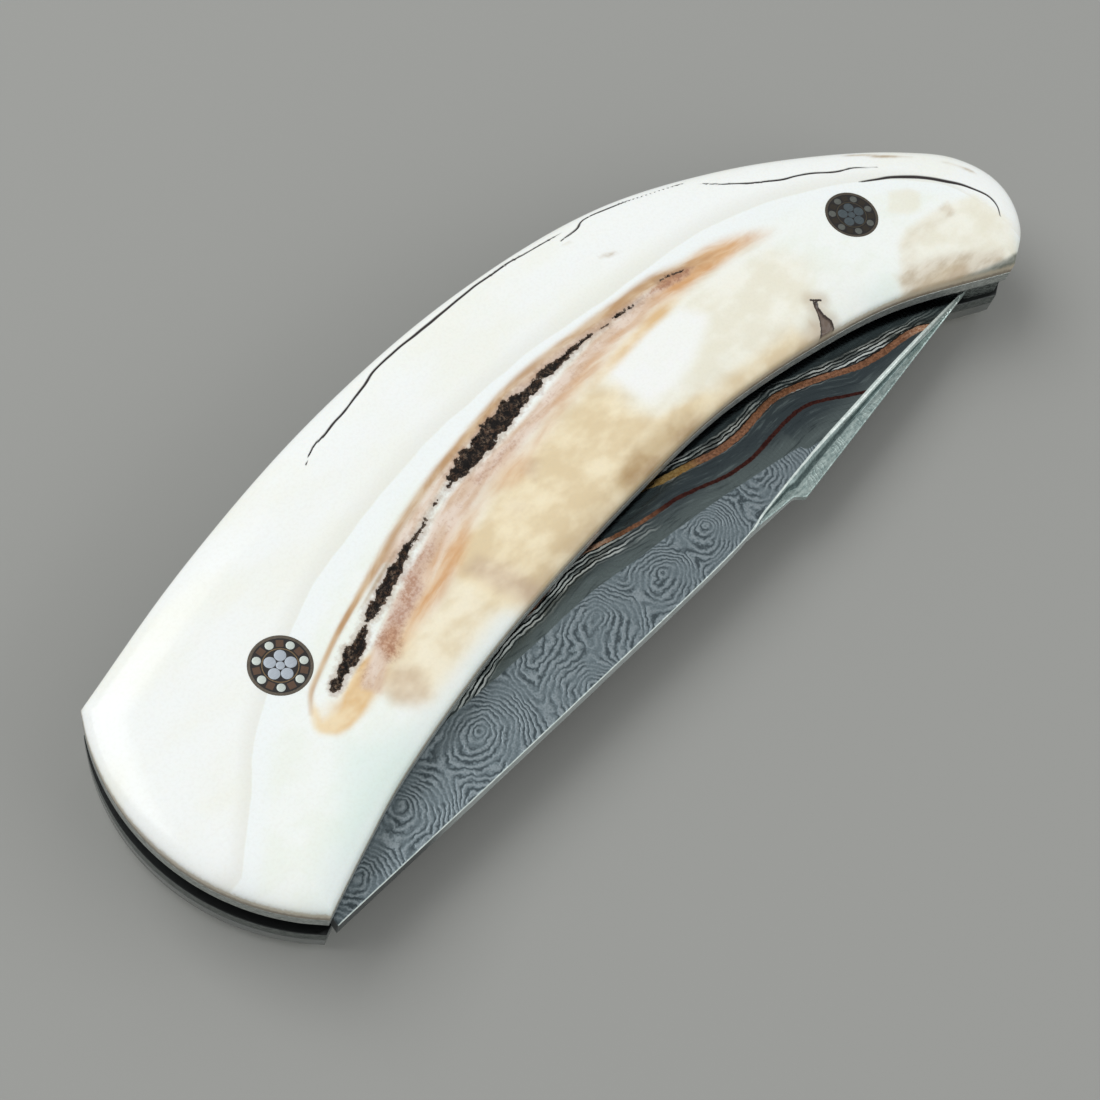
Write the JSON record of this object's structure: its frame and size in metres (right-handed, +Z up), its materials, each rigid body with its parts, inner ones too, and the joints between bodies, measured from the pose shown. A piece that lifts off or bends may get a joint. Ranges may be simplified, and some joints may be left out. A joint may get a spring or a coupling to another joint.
{
  "type": "folding pocket knife",
  "caption": "Closed folding pocket knife with a curved ivory-like handle, patterned steel blade, steel liners and mosaic pins; the blade swings out half a turn.",
  "frame": {"origin": "middle of the underside of the closed knife's box, on the surface it lies on", "axes": "+X along the handle from the pivot to the nose, +Y towards the convex back of the handle, +Z up out of the face with the pins"},
  "size_m": [0.12, 0.0408, 0.0118],
  "materials": {
    "ivory": "polished ivory-like, cream white with tan mottling and dark bark cracks",
    "liner_steel": "satin steel, edges finely patterned",
    "spacer_steel": "dark grained steel",
    "blade_steel": "etched layered pattern with copper lines on the bevel",
    "washer_bronze": "polished bronze",
    "pin_steel": "ground steel",
    "mosaic_tube": "polished, toned grey-bronze",
    "mosaic_brass": "polished",
    "mosaic_resin": "black resin, polished flat",
    "mosaic_rod": "polished",
    "mosaic_copper": "dark copper, polished"
  },
  "bodies": {
    "handle": {"top_scale": "ivory", "bottom_scale": "ivory", "top_liner": "liner_steel", "bottom_liner": "liner_steel", "back_spacer": "spacer_steel", "top_washer": "washer_bronze", "bottom_washer": "washer_bronze", "stop_pin": "pin_steel", "liner_pin_1": "pin_steel", "liner_pin_2": "pin_steel", "pivot_pin_tube": "mosaic_tube", "pivot_pin_inner_tube": "mosaic_brass", "pivot_pin_ring_resin": "mosaic_resin", "pivot_pin_core_resin": "mosaic_resin", "pivot_pin_rod_1": "mosaic_rod", "pivot_pin_rod_2": "mosaic_rod", "pivot_pin_rod_3": "mosaic_rod", "pivot_pin_rod_4": "mosaic_rod", "pivot_pin_rod_5": "mosaic_rod", "pivot_pin_rod_6": "mosaic_rod", "pivot_pin_rod_7": "mosaic_rod", "pivot_pin_bar_1": "mosaic_copper", "pivot_pin_bar_2": "mosaic_copper", "pivot_pin_bar_3": "mosaic_copper", "pivot_pin_bar_4": "mosaic_copper", "pivot_pin_bar_5": "mosaic_copper", "pivot_pin_bar_6": "mosaic_copper", "pivot_pin_bar_7": "mosaic_copper", "pivot_pin_petal_1": "mosaic_rod", "pivot_pin_petal_2": "mosaic_rod", "pivot_pin_petal_3": "mosaic_rod", "pivot_pin_petal_4": "mosaic_rod", "pivot_pin_petal_5": "mosaic_rod", "pivot_pin_centre_rod": "mosaic_rod", "spacer_pin_tube": "mosaic_tube", "spacer_pin_inner_tube": "mosaic_brass", "spacer_pin_ring_resin": "mosaic_resin", "spacer_pin_core_resin": "mosaic_resin", "spacer_pin_rod_1": "mosaic_rod", "spacer_pin_rod_2": "mosaic_rod", "spacer_pin_rod_3": "mosaic_rod", "spacer_pin_rod_4": "mosaic_rod", "spacer_pin_rod_5": "mosaic_rod", "spacer_pin_rod_6": "mosaic_rod", "spacer_pin_rod_7": "mosaic_rod", "spacer_pin_bar_1": "mosaic_copper", "spacer_pin_bar_2": "mosaic_copper", "spacer_pin_bar_3": "mosaic_copper", "spacer_pin_bar_4": "mosaic_copper", "spacer_pin_bar_5": "mosaic_copper", "spacer_pin_bar_6": "mosaic_copper", "spacer_pin_bar_7": "mosaic_copper", "spacer_pin_petal_1": "mosaic_rod", "spacer_pin_petal_2": "mosaic_rod", "spacer_pin_petal_3": "mosaic_rod", "spacer_pin_petal_4": "mosaic_rod", "spacer_pin_petal_5": "mosaic_rod", "spacer_pin_centre_rod": "mosaic_rod"},
    "blade": {"blade": "blade_steel"}
  },
  "joints": [
    {"name": "blade_pivot", "type": "hinge", "parent": "handle", "child": "blade", "pos_m": [-0.04097, 0.0002, 0.00592], "axis": [0, 0, -1], "range_deg": [0, 180]}
  ]
}
